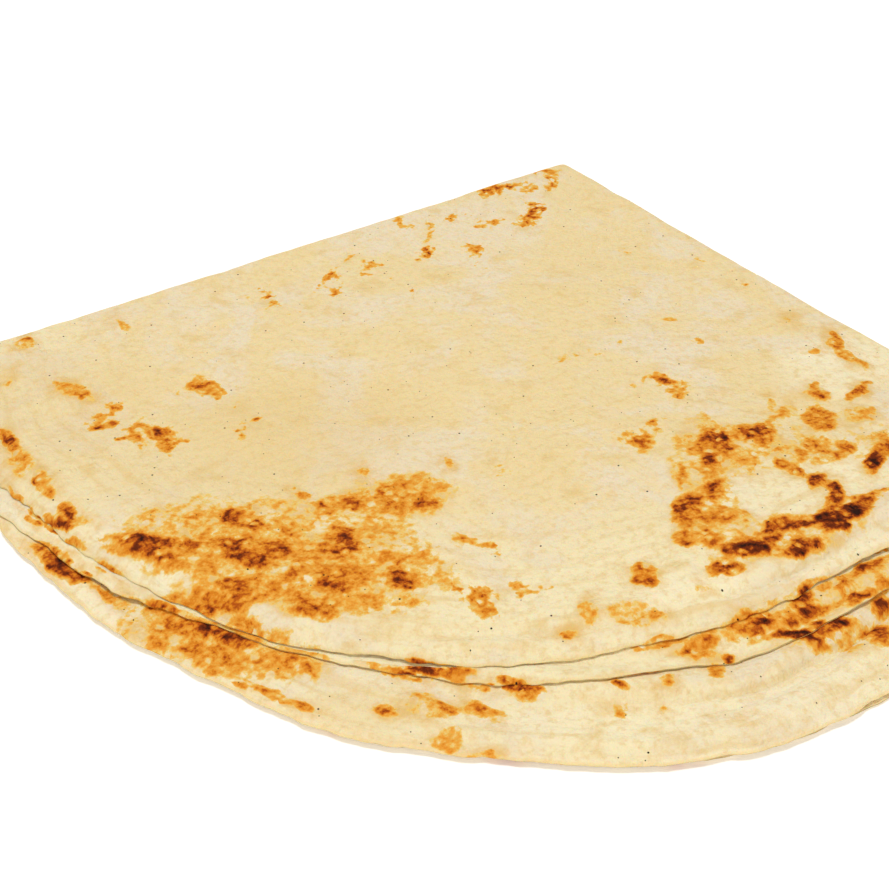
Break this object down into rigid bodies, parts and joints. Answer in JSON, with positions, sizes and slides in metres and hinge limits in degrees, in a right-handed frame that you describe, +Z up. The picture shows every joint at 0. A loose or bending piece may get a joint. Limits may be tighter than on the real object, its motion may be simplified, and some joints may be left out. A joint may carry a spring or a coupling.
{
  "type": "folded lavash flatbread",
  "caption": "Large thin soft flatbread folded in half and in half again into a quarter-round pad, its rims stepping out at the round front.",
  "frame": {"origin": "a point on the flat underside, on the middle line from the square corner to the round front, 185 mm in front of the corner; the underside is at z = 0", "axes": "+Z up, -Y towards the round front where the four rims show, +Y towards the square corner where the two folded sides meet, +X to the right seen from the front"},
  "size_m": [0.4229, 0.3732, 0.0178],
  "materials": {
    "lavash": "matte cream baked dough with orange-brown scorched patches"
  },
  "bodies": {
    "root": {"lavash": "lavash"}
  },
  "joints": []
}
